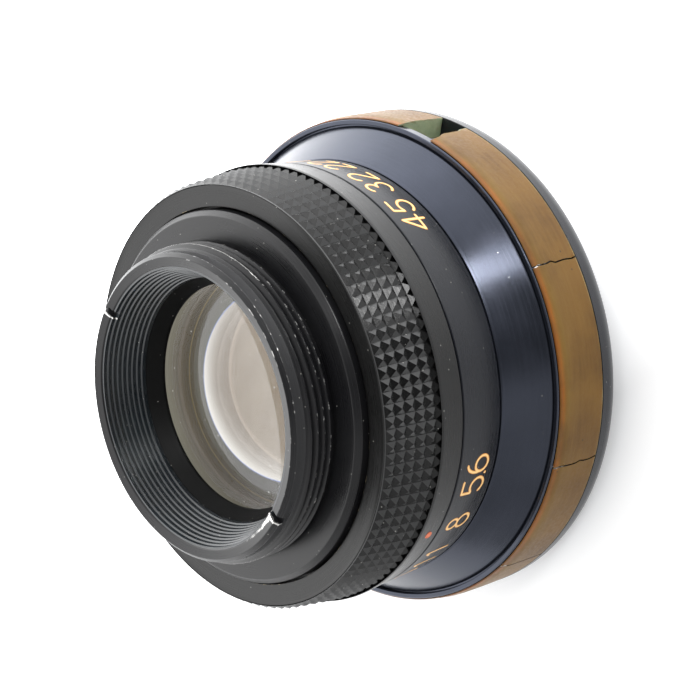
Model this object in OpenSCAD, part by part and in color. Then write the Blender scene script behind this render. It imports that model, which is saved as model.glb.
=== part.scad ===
// Enlarger lens: a darkroom projection lens with a screw mount at the rear, a fixed
// knurled grip ring and one flared control ring that opens and closes the iris.
//
// The optical axis is Z. The rear mount points up, and the lens stands on its front
// rim at z = 0. Turned profiles are lists of [radius, depth], where depth is measured
// from the rear lip down towards the front rim. The index dot faces -Y.

/* [Overall] */
// Length from the rear lip to the front rim
total_length = 42.6; // [42.6:0.1:43.2]

/* [Rear mount] */
// Major radius of the mount thread
thread_r = 19.5; // [19.4:0.05:19.6]
// Depth at which the thread starts
thread_start = 1.9; // [1.6:0.1:2.2]
// Depth at which the thread ends
thread_end = 5.5; // [5:0.1:5.6]
// Outer radius of the rear lip
lip_r = 18.8; // [18.6:0.05:18.9]
// Radius of the opening in the rear lip
lip_bore_r = 17.1; // [16.9:0.05:17.3]
// Depth of the shoulder that seats on the lens board
seat_depth = 5.95; // [5.8:0.05:6]
// Outer radius of the flat seat
seat_r = 22.4; // [22:0.1:22.5]
// Radius of the collar below the seat
collar_r = 23.05; // [22.9:0.05:23.1]
// Number of fine steps that trap stray light behind the lip
baffle_steps = 9; // [6:1:10]
// Radius at the innermost step
baffle_end_r = 15.1; // [15:0.05:15.2]
// Depth of the innermost step
baffle_end = 5.6; // [5.4:0.1:5.8]
// Width of the two spanner slots in the lip
spanner_slot_w = 1.0; // [0.8:0.1:1.4]
// Direction of the first spanner slot
spanner_slot_angle = 88; // [0:1:179]

/* [Grip ring] */
// Radius at the rear edge of the knurled cone
knurl_rear_r = 26.5; // [26.2:0.05:26.7]
// Radius at the front edge of the knurled cone
knurl_front_r = 27.55; // [27.2:0.05:27.7]
// Depth at the rear edge of the knurled cone
knurl_start = 7.1; // [7:0.1:7.3]
// Depth at the front edge of the knurled cone
knurl_end = 15.15; // [14.9:0.05:15.3]
// Radius of the smooth index band at its front edge
index_band_r = 27.35; // [27.2:0.05:27.4]
// Radius of the painted index dot
index_dot_r = 0.5; // [0.4:0.05:0.7]

/* [Control ring] */
// Depth of the seam between the grip ring and the control ring
seam_depth = 18.7; // [18.65:0.05:18.75]
// Radius of the number ring at its front edge
scale_r = 27.0; // [26.9:0.05:27.1]
// Depth at which the number ring ends and the flare begins
flare_start = 25.75; // [25.6:0.05:25.9]
// Radius at the wide end of the flare
flare_r = 30.75; // [30.5:0.05:30.75]
// Depth at the wide end of the flare
flare_end = 30.85; // [30.8:0.05:30.9]
// Outer radius of the rim ring
rim_r = 32.2; // [32.2:0.05:32.5]
// Radius of the rounded front edge of the rim ring
rim_round = 3.3; // [3:0.1:3.3]
// Depth at which the rim ring starts
rim_start = 38.45; // [38.4:0.05:38.5]

/* [Luminous band] */
// Radius at the rear edge of the band
band_rear_r = 31.67; // [31.66:0.01:31.72]
// Radius at the front edge of the band
band_front_r = 32.2; // [32.15:0.05:32.2]
// Width of a crack, in degrees
crack_width = 0.35; // [0.2:0.05:0.6]

/* [Iris] */
// Number of iris blades
blade_count = 10; // [8:1:10]
// Angle between neighbouring stops on the scale
stop_step = 15; // [14.8:0.05:15]
// Stops from the widest setting to the one the lens is set at
stops_wider = 1; // [0:1:1]
// Stops from the setting the lens is set at to the smallest one
stops_smaller = 5; // [4:1:5]
// Turn of a blade for each degree of the control ring
blade_ratio = 0.3675; // [0.36:0.0005:0.3675]
// Radius of the circle of blade pivots
pivot_circle_r = 18; // [17.9:0.05:18.1]
// Radius of the iris opening when it is fully open
open_r = 11.7; // [11.6:0.05:11.8]
// Outer radius of a blade
blade_outer_r = 17.1; // [17:0.05:17.2]
// Angle that a blade spans round the axis
blade_span = 130; // [120:1:140]
// Thickness of a blade
blade_t = 0.1; // [0.08:0.01:0.1]
// Distance from one blade level to the next
blade_pitch = 0.16; // [0.15:0.01:0.16]

/* [Optics] */
// Radius of the lens elements
glass_r = 15.42; // [15.3:0.02:15.46]
// Radius of the bore that holds the lens elements
cell_r = 15.5; // [15.48:0.01:15.55]
// Radius of the visible glass at the rear
rear_clear_r = 14.0; // [13.9:0.05:14.2]
// Radius of curvature of the outermost glass surfaces
outer_curve_r = 70; // [60:1:90]
// Radius of curvature of the inner side of the single elements
inner_curve_r = 150; // [130:5:200]
// Radius of curvature of both sides of the cemented pairs
doublet_curve_r = 40; // [40:1:50]
// Radius of the hollow ground into each cemented pair
hollow_r = 12; // [11.8:0.1:12.2]

/* [Front] */
// Radius of the filter thread
filter_r = 20.25; // [20.2:0.05:20.3]
// Outer radius of the front barrel beside the filter thread
front_tube_r = 22.5; // [22.3:0.1:22.5]
// Depth of the front end of the front barrel
front_end = 40.35; // [40:0.05:40.5]

/* [Hidden] */
// Directions at which the luminous band is cracked through
band_cracks = [256.8, 287.3, 332.2];
// Directions between which a fragment of it has broken away
band_gap = [372.5, 381.3];
// One piece of the band lies between each two of its breaks
band_count = len(band_cracks) + 1;

turned_fn = 120;
sphere_fn = 220;
pin_fn = 32;
over = 0.5;              // how far a cutting tool runs past the face it cuts

// Fits
thread_gap = 0.05;       // radial gap in a screwed joint
turn_gap = 0.15;         // gap between the control ring and the fixed barrel

// Rear cell, as depths
glass_seat = 7.9;        // inner face of the shoulder in front of the rear glass
clear_depth = 7.6;       // narrowest point of that shoulder
collar_end = 9.4;        // front face of the collar
spigot_end = 12.4;       // end of the screwed spigot of the mount barrel
rear_cell_end = 18.4;    // end of the tube that holds the rear elements
rear_cell_r = 17.4;      // outer radius of that tube
rear_edge = [8.2, 9.8];  // rim of the outermost glass
rear_spacer_d = [10.0, 13.3];
rear_pair = [14.0, 14.6, 17.2];  // rim, cemented face and inner face of the pair
rear_lock = [17.25, 18.3];
rear_lock_r = 12.6;
spacer_r = 13.9;         // bore of both spacers

// Main barrel
barrel_bore_r = 22.4;
grip_seat_r = 24.0;      // radius that the grip ring sits on
bearing_r = 24.7;       // radius that the control ring turns on
sleeve_r = 26.0;         // outer radius of the control ring's inner sleeve
sleeve_start = 19.35;
cover_bore_r = 21.7;
barrel_end = 30.05;
front_spigot_r = 19;

// Iris, as depths from the rear to the front
iris_lock = [20.75, 21.25];
iris_lock_r = 19.4;
rotor = [21.55, 22.85];
crank = [23.1, 23.55];
iris_base_d = [23.75, 24.55];
first_blade = 24.7;
iris_cover_d = [26.55, 27.15];
rotor_r = [16, 22.2];
iris_hole_r = 11.8;

// Blade pins
pivot_pin_r = 0.4;
drive_pin_r = 0.3;
pin_clearance = 0.05;
slot_clearance = 0.08;
crank_len = 5;
crank_open_angle = 73;   // direction of the crank when the iris is fully open
pin_setback = 0.2;       // a drive pin ends this far inside the rotor

// Angles of the control ring, with the setting of the lens as zero
turn_min = -stop_step * stops_wider;
turn_max = stop_step * stops_smaller;
slot_margin = 1.5;
slot_points = 28;
drive_angle = 90;        // direction of the pin that couples ring and rotor
ring_pin_r = 0.45;
ring_pin_inner = 20.9;
ring_slot_half = 0.6;
ring_slot_margin = 3;

// Front cell, as depths
front_start = 27.25;      // rear end of the front barrel
front_seat = 27.65;
front_seat_r = 12.4;     // bore of the shoulder that carries the front pair
front_pair = [30.85, 30.25, 27.7];
front_spacer_d = [31.55, 34.85];
front_edge = [36.65, 35.05];
front_lock = [36.95, 37.55];
front_flange_r = 23.4;
front_flange_end = 33.75;
front_bore_end = 37.65;
trim_end = 38.45;         // front face of the trim ring and start of the filter thread
trim_r = 20;

// Click stop
click_angle = 200;
click_depth = 28.25;
click_ball_r = 0.75;
click_hole_r = 0.8;
click_centre_r = 24.05;
click_floor_r = 22.3;
detent_r = 0.85;
detent_centre_r = 24.45;
spring_wire_r = 0.1;
spring_coil_r = 0.55;
spring_turns = 3;
spring_steps = 14;       // segments in a turn
spring_sides = 8;

// Control ring section
wall = [30.6, 31.75];    // wall behind the groove at the end of the flare
wall_r = 31.6;
channel_r = 29.6;          // floor of the channel that holds the luminous band
rim_spigot_r = 28.8;
rim_spigot_end = 40.4;
ring_flange_r = 23.55;
ring_flange = [30.2, 33.6];
index_dot_depth = 16.8;

// Directions of the breaks, from one side of the broken-away fragment to the other
band_breaks = concat([band_gap[1] - 360], band_cracks, [band_gap[0]]);

function two_digits(i) = i < 10 ? str("0", i) : str(i);
function blade_name(i) = str("iris_blade_", two_digits(i));
function band_name(i) = str("luminous_band_", i);

// Height of a depth above the front rim
function up(depth) = total_length - depth;
function polar(r, a) = [r * cos(a), r * sin(a)];
// How far a sphere of radius curve_r falls away at radius r
function sag(curve_r, r) = curve_r - sqrt(curve_r * curve_r - r * r);

// Solid of revolution through a list of [radius, depth]
module turned(profile)
    rotate_extrude($fn = turned_fn) polygon([for (p = profile) [p[0], up(p[1])]]);

// Flat ring between two radii and two depths
module ring(r_in, r_out, depths)
    turned([[r_in, depths[0]], [r_out, depths[0]], [r_out, depths[1]], [r_in, depths[1]]]);

// Cylinder along the axis between two depths
module rod(r, depths, fn = pin_fn)
    translate([0, 0, up(depths[1])]) cylinder(r = r, h = depths[1] - depths[0], $fn = fn);

// Cylinder that points away from the axis, from radius r0 to radius r1
module radial_rod(r, r0, r1, angle, depth)
    rotate([0, 0, angle]) translate([r0, 0, up(depth)]) rotate([0, 90, 0])
        cylinder(r = r, h = r1 - r0, $fn = pin_fn);

// Flat shape that covers the directions from a0 to a1
module sector_outline(r, a0, a1) {
    widest_part = 60;
    parts = ceil((a1 - a0) / widest_part);
    polygon(concat([[0, 0]],
        [for (i = [0:parts]) polar(r / cos((a1 - a0) / parts / 2), a0 + (a1 - a0) * i / parts)]));
}

// The same shape between two depths, for cutting rings into arcs
module sector(r, a0, a1, depths)
    translate([0, 0, up(depths[1])])
        linear_extrude(depths[1] - depths[0]) sector_outline(r, a0, a1);

// ---- fixed barrel ----

module mount_barrel() {
    lip_bevel = 0.45;
    lip_dish = 0.3;
    thread_bevel = 0.4;
    relief_r = 18.9;
    seat_relief = 0.1;   // width and depth of the groove between the thread and the seat
    rise = (lip_bore_r - baffle_end_r) / baffle_steps;
    run = (baffle_end - lip_dish) / baffle_steps;
    steps = [for (i = [0:baffle_steps - 1], j = [0, 1])
        [baffle_end_r + rise * (i + j), baffle_end - run * i]];
    color("dimgray") difference() {
        turned(concat(
            [[lip_bore_r, lip_dish], [lip_r - lip_bevel, 0], [lip_r, lip_bevel],
             [lip_r, thread_start], [thread_r, thread_start + thread_bevel],
             [thread_r, thread_end], [relief_r, thread_end + thread_gap],
             [relief_r, seat_depth + seat_relief],
             [thread_r + seat_relief, seat_depth + seat_relief],
             [thread_r + seat_relief, seat_depth], [seat_r, seat_depth],
             [collar_r, seat_depth + collar_r - seat_r], [collar_r, collar_end],
             [barrel_bore_r - thread_gap, collar_end], [barrel_bore_r - thread_gap, spigot_end],
             [rear_cell_r, spigot_end], [rear_cell_r, rear_cell_end],
             [cell_r, rear_cell_end], [cell_r, glass_seat],
             [rear_clear_r, glass_seat], [rear_clear_r, clear_depth]],
            steps));
        spanner_slots();
    }
}

module spanner_slots() {
    slot_depth = 1;
    for (a = [0, 180]) rotate([0, 0, spanner_slot_angle + a])
        translate([lip_bore_r - 1, -spanner_slot_w / 2, up(slot_depth)])
            cube([lip_r - lip_bore_r + 2, spanner_slot_w, slot_depth + over]);
}

module knurled_grip_ring() {
    face_r = 23.35;
    face_depth = 7.3;
    edge = 0.1;
    color("#262728") difference() {
        turned([[face_r, face_depth], [knurl_rear_r, knurl_start], [knurl_front_r, knurl_end],
                [knurl_front_r + edge, knurl_end], [index_band_r, seam_depth - edge],
                [index_band_r - edge, seam_depth], [grip_seat_r + thread_gap, seam_depth],
                [grip_seat_r + thread_gap, collar_end + edge], [face_r, collar_end + edge]]);
        index_dot_rod(2 * over);
    }
}

// The dot fills a shallow drilled hole in the index band
module index_dot_rod(extra) {
    floor_r = 27.32;
    paint = 0.25;
    radial_rod(index_dot_r, floor_r, floor_r + paint + extra, 270, index_dot_depth);
}

module index_dot() color("orangered") index_dot_rod(0);

module main_barrel() {
    shoulder = seam_depth + 0.1;
    start = collar_end + 0.1;
    color("#1c1c1e") difference() {
        turned([[barrel_bore_r, start], [grip_seat_r, start], [grip_seat_r, shoulder],
                [bearing_r, shoulder], [bearing_r, barrel_end], [front_spigot_r, barrel_end],
                [front_spigot_r, iris_cover_d[1]], [cover_bore_r, iris_cover_d[1]],
                [cover_bore_r, iris_base_d[1]], [barrel_bore_r, iris_base_d[1]]]);
        ring_pin_slot();
        radial_rod(click_hole_r, click_floor_r, bearing_r + over, click_angle, click_depth);
    }
}

// Slot in which the coupling pin travels, from one end of the scale to the other
module ring_pin_slot() {
    middle = (rotor[0] + rotor[1]) / 2;
    depths = [middle - ring_slot_half, middle + ring_slot_half];
    intersection() {
        ring(rotor_r[1] - over, bearing_r + over, depths);
        sector(bearing_r + 2 * over, drive_angle + turn_min - ring_slot_margin,
               drive_angle + turn_max + ring_slot_margin, depths);
    }
}

module iris_retaining_ring()
    color("dimgray") ring(iris_lock_r, barrel_bore_r - thread_gap, iris_lock);

// ---- glass ----

// Single element: side is 1 where the strong surface faces the rear, -1 the front.
// edge holds the depths of its rim, the strong side first.
module single_element(edge, side) {
    strong_vertex = edge[0] - side * sag(outer_curve_r, glass_r);
    weak_vertex = edge[1] + side * sag(inner_curve_r, glass_r);
    intersection() {
        rod(glass_r, [min(strong_vertex, weak_vertex) - 1, max(strong_vertex, weak_vertex) + 1],
            turned_fn);
        translate([0, 0, up(strong_vertex + side * outer_curve_r)])
            sphere(r = outer_curve_r, $fn = sphere_fn);
        translate([0, 0, up(weak_vertex - side * inner_curve_r)])
            sphere(r = inner_curve_r, $fn = sphere_fn);
    }
}

// Domed half of a cemented pair, with its flat side at depth flat
module domed_element(rim, flat, side) {
    vertex = rim - side * sag(doublet_curve_r, glass_r);
    intersection() {
        rod(glass_r, [min(vertex, flat), max(vertex, flat)], turned_fn);
        translate([0, 0, up(vertex + side * doublet_curve_r)])
            sphere(r = doublet_curve_r, $fn = sphere_fn);
    }
}

// Hollow half of a cemented pair, ground hollow on the side that faces the iris
module hollow_element(flat, face, side) {
    bottom = face - side * sag(doublet_curve_r, hollow_r);
    difference() {
        rod(glass_r, [min(flat, face), max(flat, face)], turned_fn);
        translate([0, 0, up(bottom + side * doublet_curve_r)])
            sphere(r = doublet_curve_r, $fn = sphere_fn);
    }
}

module rear_lens() color("lightsteelblue", 0.6) single_element(rear_edge, 1);
module rear_spacer() color("#202022") ring(spacer_r, cell_r - thread_gap, rear_spacer_d);
module rear_doublet_outer() color("lightsteelblue", 0.6) domed_element(rear_pair[0], rear_pair[1], 1);
module rear_doublet_inner() color("thistle", 0.6) hollow_element(rear_pair[1], rear_pair[2], 1);
module rear_retaining_ring()
    color("#202022") ring(rear_lock_r, cell_r - thread_gap, rear_lock);

module front_lens() color("lightsteelblue", 0.6) single_element(front_edge, -1);
module front_spacer() color("#202022") ring(spacer_r, cell_r - thread_gap, front_spacer_d);
module front_doublet_outer() color("lightsteelblue", 0.6) domed_element(front_pair[0], front_pair[1], -1);
module front_doublet_inner() color("thistle", 0.6) hollow_element(front_pair[1], front_pair[2], -1);
module front_retaining_ring()
    color("#202022") ring(rear_clear_r, cell_r - thread_gap, front_lock);

// ---- iris ----

// Direction of a crank, measured from the direction of its pivot
function crank_angle(turn) = crank_open_angle + blade_ratio * (turn - turn_min);
// Place of a blade's drive pin, for a pivot on the X axis
function pin_place(turn) = [pivot_circle_r, 0] + polar(crank_len, crank_angle(turn));
// The same place as the rotor sees it, turned back by the rotor's own turn
function pin_in_rotor(turn) = let (p = pin_place(turn))
    [p[0] * cos(turn) + p[1] * sin(turn), p[1] * cos(turn) - p[0] * sin(turn)];
// Point of the cam slot's side: the pin's path, moved across it by w
function slot_side(turn, w) = let (
        p = pin_in_rotor(turn),
        t = pin_in_rotor(turn + 0.1) - pin_in_rotor(turn - 0.1),
        n = [-t[1], t[0]] / norm(t))
    p + w * n;

module cam_slot() {
    half = drive_pin_r + slot_clearance;
    a0 = turn_min - slot_margin;
    a1 = turn_max + slot_margin;
    turns = [for (i = [0:slot_points]) a0 + (a1 - a0) * i / slot_points];
    points = concat([for (t = turns) slot_side(t, half)],
                    [for (i = [slot_points:-1:0]) slot_side(turns[i], -half)]);
    translate([0, 0, up(rotor[1]) - over])
        linear_extrude(rotor[1] - rotor[0] + 2 * over) polygon(points);
}

module iris_rotor() {
    color("#3a3c40") difference() {
        ring(rotor_r[0], rotor_r[1], rotor);
        for (i = [0:blade_count - 1]) rotate([0, 0, 360 * i / blade_count]) cam_slot();
        drive_pin_rod();
    }
}

// Pin that carries the turn of the control ring to the rotor
module drive_pin_rod()
    radial_rod(ring_pin_r, ring_pin_inner, sleeve_r, drive_angle, (rotor[0] + rotor[1]) / 2);

module drive_pin() color("silver") drive_pin_rod();

module iris_base() {
    color("#2a2a2c") difference() {
        ring(iris_hole_r, barrel_bore_r - thread_gap, iris_base_d);
        for (i = [0:blade_count - 1]) rotate([0, 0, 360 * i / blade_count])
            translate([pivot_circle_r, 0, 0])
                rod(pivot_pin_r + pin_clearance, [iris_base_d[0] - over, iris_base_d[1] + over]);
    }
}

module iris_cover() color("#2a2a2c") ring(iris_hole_r, cover_bore_r - thread_gap, iris_cover_d);

// Outline of a blade's leaf, fully open, with its pivot on the X axis
module leaf_outline() {
    middle_r = (open_r + blade_outer_r) / 2;
    end_r = (blade_outer_r - open_r) / 2 - 0.3;
    tab_w = 1.8;
    tab_r0 = 15.6;
    boss_r = 1;
    intersection() {
        difference() {
            circle(r = blade_outer_r, $fn = turned_fn);
            circle(r = open_r, $fn = turned_fn);
        }
        sector_outline(2 * blade_outer_r, 0, blade_span);
    }
    for (a = [0, blade_span]) rotate(a) translate([middle_r, 0]) circle(r = end_r, $fn = pin_fn);
    translate([tab_r0, -tab_w / 2]) square([pivot_circle_r - tab_r0, tab_w]);
    translate([pivot_circle_r, 0]) circle(r = boss_r, $fn = pin_fn);
}

// Outline of the arm behind the base plate that turns a blade
module crank_outline() {
    end_r = 0.75;
    arm_w = 1.2;
    for (x = [0, crank_len]) translate([x, 0]) circle(r = end_r, $fn = pin_fn);
    translate([0, -arm_w / 2]) square([crank_len, arm_w]);
}

// Blade with its crank and its two pins
module blade(level) {
    leaf = first_blade + level * blade_pitch;
    crank_middle = (crank[0] + crank[1]) / 2;
    rest = blade_ratio * -turn_min;
    place = [pivot_circle_r, 0, 0];
    translate(place) rotate([0, 0, rest]) {
        translate([-pivot_circle_r, 0, up(leaf + blade_t)])
            linear_extrude(blade_t) leaf_outline();
        rod(pivot_pin_r, [crank_middle, leaf + blade_t / 2]);
        rotate([0, 0, crank_open_angle]) {
            translate([0, 0, up(crank[1])])
                linear_extrude(crank[1] - crank[0]) crank_outline();
            translate([crank_len, 0, 0]) rod(drive_pin_r, [rotor[0] + pin_setback, crank_middle]);
        }
    }
}

module iris_blade(i)
    color("#565a60") rotate([0, 0, 360 * (i - 1) / blade_count]) blade(i - 1);

// ---- front barrel ----

module front_barrel() {
    color("#202022") turned([
        [front_seat_r, front_start], [front_spigot_r - thread_gap, front_start],
        [front_spigot_r - thread_gap, barrel_end], [front_flange_r, barrel_end],
        [front_flange_r, front_flange_end], [front_tube_r, front_flange_end],
        [front_tube_r, front_end], [filter_r, front_end], [filter_r, trim_end],
        [trim_r, trim_end], [trim_r, front_bore_end], [cell_r, front_bore_end],
        [cell_r, front_seat], [front_seat_r, front_seat]]);
}

module front_trim_ring() {
    foot = 0.05;
    inner_t = 0.3;
    color("#1a1a1c") turned([[cell_r + foot, front_bore_end + foot],
        [trim_r - foot, front_bore_end + foot], [trim_r - foot, trim_end - foot],
        [cell_r + foot, front_bore_end + foot + inner_t]]);
}

module control_retaining_ring() {
    outer_r = 24.9;
    thickness = 1.2;
    color("#202022") ring(front_tube_r + thread_gap, outer_r,
                          [front_flange_end, front_flange_end + thickness]);
}

// ---- click stop ----

module click_ball() {
    color("silver") rotate([0, 0, click_angle]) translate([click_centre_r, 0, up(click_depth)])
        sphere(r = click_ball_r, $fn = 48);
}

// Helical spring between the floor of the click hole and the ball
module click_spring() {
    r0 = click_floor_r + spring_wire_r;
    seating = 0.15;      // the ball sits this far into the end coil
    r1 = click_centre_r - click_ball_r + seating;
    count = spring_turns * spring_steps;
    rings = [for (i = [0:count], j = [0:spring_sides - 1]) let (
            a = 360 * i / spring_steps, b = 360 * j / spring_sides,
            r = spring_coil_r + spring_wire_r * cos(b),
            x = r0 + (r1 - r0 - spring_wire_r) * i / count + spring_wire_r * sin(b))
        [x, r * cos(a), r * sin(a)]];
    sides = [for (i = [0:count - 1], j = [0:spring_sides - 1]) let (
            k = (j + 1) % spring_sides, m = i * spring_sides, n = m + spring_sides)
        [m + j, n + j, n + k, m + k]];
    caps = [[for (j = [0:spring_sides - 1]) j],
            [for (j = [spring_sides - 1:-1:0]) count * spring_sides + j]];
    color("silver") rotate([0, 0, click_angle]) translate([0, 0, up(click_depth)])
        polyhedron(points = rings, faces = concat(sides, caps));
}

// ---- control ring ----

module scale_ring() {
    edge = 0.12;
    start = seam_depth + turn_gap;
    finish = flare_start - 0.05;
    inner_r = sleeve_r + 0.02;
    color("#23252b") turned([[inner_r, start], [index_band_r - edge, start],
        [index_band_r, start + edge], [scale_r, finish - edge], [scale_r - edge, finish],
        [inner_r, finish]]);
}

module flared_ring() {
    groove = [30.7, 30.98];
    groove_floor = 31.35;
    bore_r = bearing_r + turn_gap;
    cone_step = 0.08;    // the cone starts this far outside the number ring
    spigot_wall = 1;
    well_r = 25.3;       // inner end of the slanting front face
    color("#1d2740") difference() {
        turned([[bore_r, sleeve_start], [sleeve_r, sleeve_start], [sleeve_r, flare_start],
                [scale_r + cone_step, flare_start], [flare_r, flare_end], [groove[0], groove_floor],
                [groove[1], groove_floor], [groove[1], wall[0]], [wall_r, wall[0]],
                [wall_r, wall[1]], [channel_r, wall[1]], [channel_r, rim_start],
                [rim_spigot_r, rim_start], [rim_spigot_r, rim_spigot_end],
                [rim_spigot_r - spigot_wall, rim_spigot_end], [well_r, ring_flange[1]],
                [ring_flange_r, ring_flange[1]], [ring_flange_r, ring_flange[0]],
                [bore_r, ring_flange[0]]]);
        drive_pin_rod();
        for (k = [-stops_wider:stops_smaller])
            rotate([0, 0, click_angle - k * stop_step])
                translate([detent_centre_r, 0, up(click_depth)]) sphere(r = detent_r, $fn = 48);
    }
}

module rim_ring() {
    round_points = 12;
    centre = [rim_r - rim_round, total_length - rim_round];
    lip_in = 28.0;
    lip_bevel = 0.3;
    foot = 0.03;
    inner_r = rim_spigot_r + foot;
    arc = [for (i = [0:round_points]) let (a = 90 * i / round_points)
        centre + rim_round * [cos(a), sin(a)]];
    color("#15161c") turned(concat([[inner_r, rim_start + foot], [rim_r, rim_start + foot]],
        arc,
        [[lip_in + lip_bevel, total_length], [lip_in, total_length - lip_bevel],
         [lip_in, rim_spigot_end + foot], [inner_r, rim_spigot_end + foot]]));
}

module luminous_band(i) {
    bevel = [32.1, 32.3];
    flat_w = 0.15;       // width of the band's flat rear edge
    foot = 0.04;
    inner_r = channel_r + foot;
    color("#8a6d3b") intersection() {
        turned([[band_rear_r, flare_end], [band_rear_r + flat_w, flare_end], bevel,
                [band_front_r, rim_start - foot], [inner_r, rim_start - foot],
                [inner_r, wall[1] + foot], [band_rear_r, wall[1] + foot]]);
        sector(2 * rim_r, band_breaks[i - 1] + (i > 1 ? crack_width / 2 : 0),
               band_breaks[i] - (i < band_count ? crack_width / 2 : 0),
               [flare_end - 1, rim_start + 1]);
    }
}

mount_barrel();
knurled_grip_ring();
index_dot();
main_barrel();
rear_lens();
rear_spacer();
rear_doublet_outer();
rear_doublet_inner();
rear_retaining_ring();
iris_retaining_ring();
iris_rotor();
drive_pin();
iris_base();
iris_cover();
for (i = [1:blade_count]) iris_blade(i);
front_barrel();
front_doublet_inner();
front_doublet_outer();
front_spacer();
front_lens();
front_retaining_ring();
front_trim_ring();
control_retaining_ring();
click_ball();
click_spring();
scale_ring();
flared_ring();
rim_ring();
for (i = [1:band_count]) luminous_band(i);
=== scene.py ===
"""Looks of the enlarger lens, built around its CAD frame.

Sizes are in millimetres, as on the turned parts' own drawings: a section is a list of
(radius, depth) corners, where depth runs from the rear lip towards the front rim.
The lens stands on its front rim, with the mount up and the index dot facing -Y.
"""

import math

import bpy
import bmesh
from mathutils import Matrix, Vector, noise


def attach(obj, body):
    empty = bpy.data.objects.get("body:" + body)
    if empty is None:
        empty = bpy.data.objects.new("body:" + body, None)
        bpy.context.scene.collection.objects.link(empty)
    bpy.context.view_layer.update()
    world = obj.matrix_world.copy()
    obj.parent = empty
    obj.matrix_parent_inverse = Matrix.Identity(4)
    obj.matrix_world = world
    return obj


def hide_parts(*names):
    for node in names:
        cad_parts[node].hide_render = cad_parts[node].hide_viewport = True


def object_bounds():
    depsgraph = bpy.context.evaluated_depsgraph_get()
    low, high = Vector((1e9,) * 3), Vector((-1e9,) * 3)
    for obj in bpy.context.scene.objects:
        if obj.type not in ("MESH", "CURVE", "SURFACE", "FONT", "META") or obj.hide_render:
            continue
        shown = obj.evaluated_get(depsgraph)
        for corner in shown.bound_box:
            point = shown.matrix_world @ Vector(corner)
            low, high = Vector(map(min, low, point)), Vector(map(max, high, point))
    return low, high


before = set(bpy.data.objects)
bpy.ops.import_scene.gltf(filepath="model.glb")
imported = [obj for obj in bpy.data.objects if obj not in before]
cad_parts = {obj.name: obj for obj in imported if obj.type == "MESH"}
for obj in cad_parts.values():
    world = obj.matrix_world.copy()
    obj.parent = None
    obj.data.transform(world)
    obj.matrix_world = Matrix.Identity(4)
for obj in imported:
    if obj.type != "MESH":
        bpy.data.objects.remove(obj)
cad_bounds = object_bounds()

MM = 0.001
LENGTH = cad_bounds[1].z / MM
FIXED, TURNING = "fixed_barrel", "control_ring"


def point(angle, radius, depth):
    """Place of a point given by its direction in degrees, radius and depth."""
    a = math.radians(angle)
    return Vector((radius * math.cos(a), radius * math.sin(a), LENGTH - depth)) * MM


# ---- meshes ----


class Builder:
    """Collects vertices with a wear value each, and faces with a material index."""

    def __init__(self, name):
        self.name = name
        self.points = []
        self.tones = []
        self.faces = []
        self.kinds = []

    def add(self, place, tone=0.0):
        self.points.append(place)
        self.tones.append(tone)
        return len(self.points) - 1

    def face(self, *corners, kind=0):
        self.faces.append(corners)
        self.kinds.append(kind)

    def bands(self, rings, closed=True, kind=0):
        """Faces between each two neighbouring rings of vertices."""
        for a, b in zip(rings, rings[1:]):
            count = len(a)
            for i in range(count if closed else count - 1):
                j = (i + 1) % count
                self.face(a[i], b[i], b[j], a[j], kind=kind)

    def finish(self, body, materials, sharp=38, replaces=(), slot=None):
        mesh = bpy.data.meshes.new(self.name)
        mesh.from_pydata([tuple(p) for p in self.points], [], self.faces)
        mesh.polygons.foreach_set("material_index", self.kinds)
        tone = mesh.attributes.new("tone", "FLOAT", "POINT")
        tone.data.foreach_set("value", self.tones)
        bm = bmesh.new()
        bm.from_mesh(mesh)
        bmesh.ops.dissolve_degenerate(bm, dist=1e-7, edges=bm.edges)
        bmesh.ops.recalc_face_normals(bm, faces=bm.faces)
        bm.to_mesh(mesh)
        bm.free()
        mesh.shade_smooth()
        mesh.set_sharp_from_angle(angle=math.radians(sharp))
        obj = bpy.data.objects.new(self.name, mesh)
        bpy.context.scene.collection.objects.link(obj)
        for m in materials:
            mesh.materials.append(m)
        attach(obj, body)
        if replaces:
            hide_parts(*replaces)
        return obj


TONE_FADE = 0.03                 # share of a face over which the wear of its edge fades
LONGEST_ROUNDING = 0.45          # share of a face that the rounding of one corner may use


def rounded(corners, steps=3):
    """Section with its corners rounded. A corner is (radius, depth, size of rounding, tone)."""
    out = []
    count = len(corners)
    for i, corner in enumerate(corners):
        r, d, size, tone = (tuple(corner) + (0.0, 0.0))[:4]
        here = Vector((r, d))
        if not size:
            out.append((r, d, tone))
            continue
        before = Vector(corners[i - 1][:2]) - here
        after = Vector(corners[(i + 1) % count][:2]) - here
        start = here + before.normalized() * min(size, before.length * LONGEST_ROUNDING)
        end = here + after.normalized() * min(size, after.length * LONGEST_ROUNDING)
        if tone:
            out.append((*(start + before * TONE_FADE), 0.0))
        for k in range(steps + 1):
            t = k / steps
            p = start.lerp(here, t).lerp(here.lerp(end, t), t)
            out.append((p.x, p.y, tone))
        if tone:
            out.append((*(end + after * TONE_FADE), 0.0))
    return out


def circle_angles(count, extra=()):
    plain = [360 * i / count for i in range(count)]
    near = 0.3 * 360 / count
    kept = [a for a in plain if all(abs(a - e) > near for e in extra)]
    return sorted(kept + list(extra))


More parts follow.
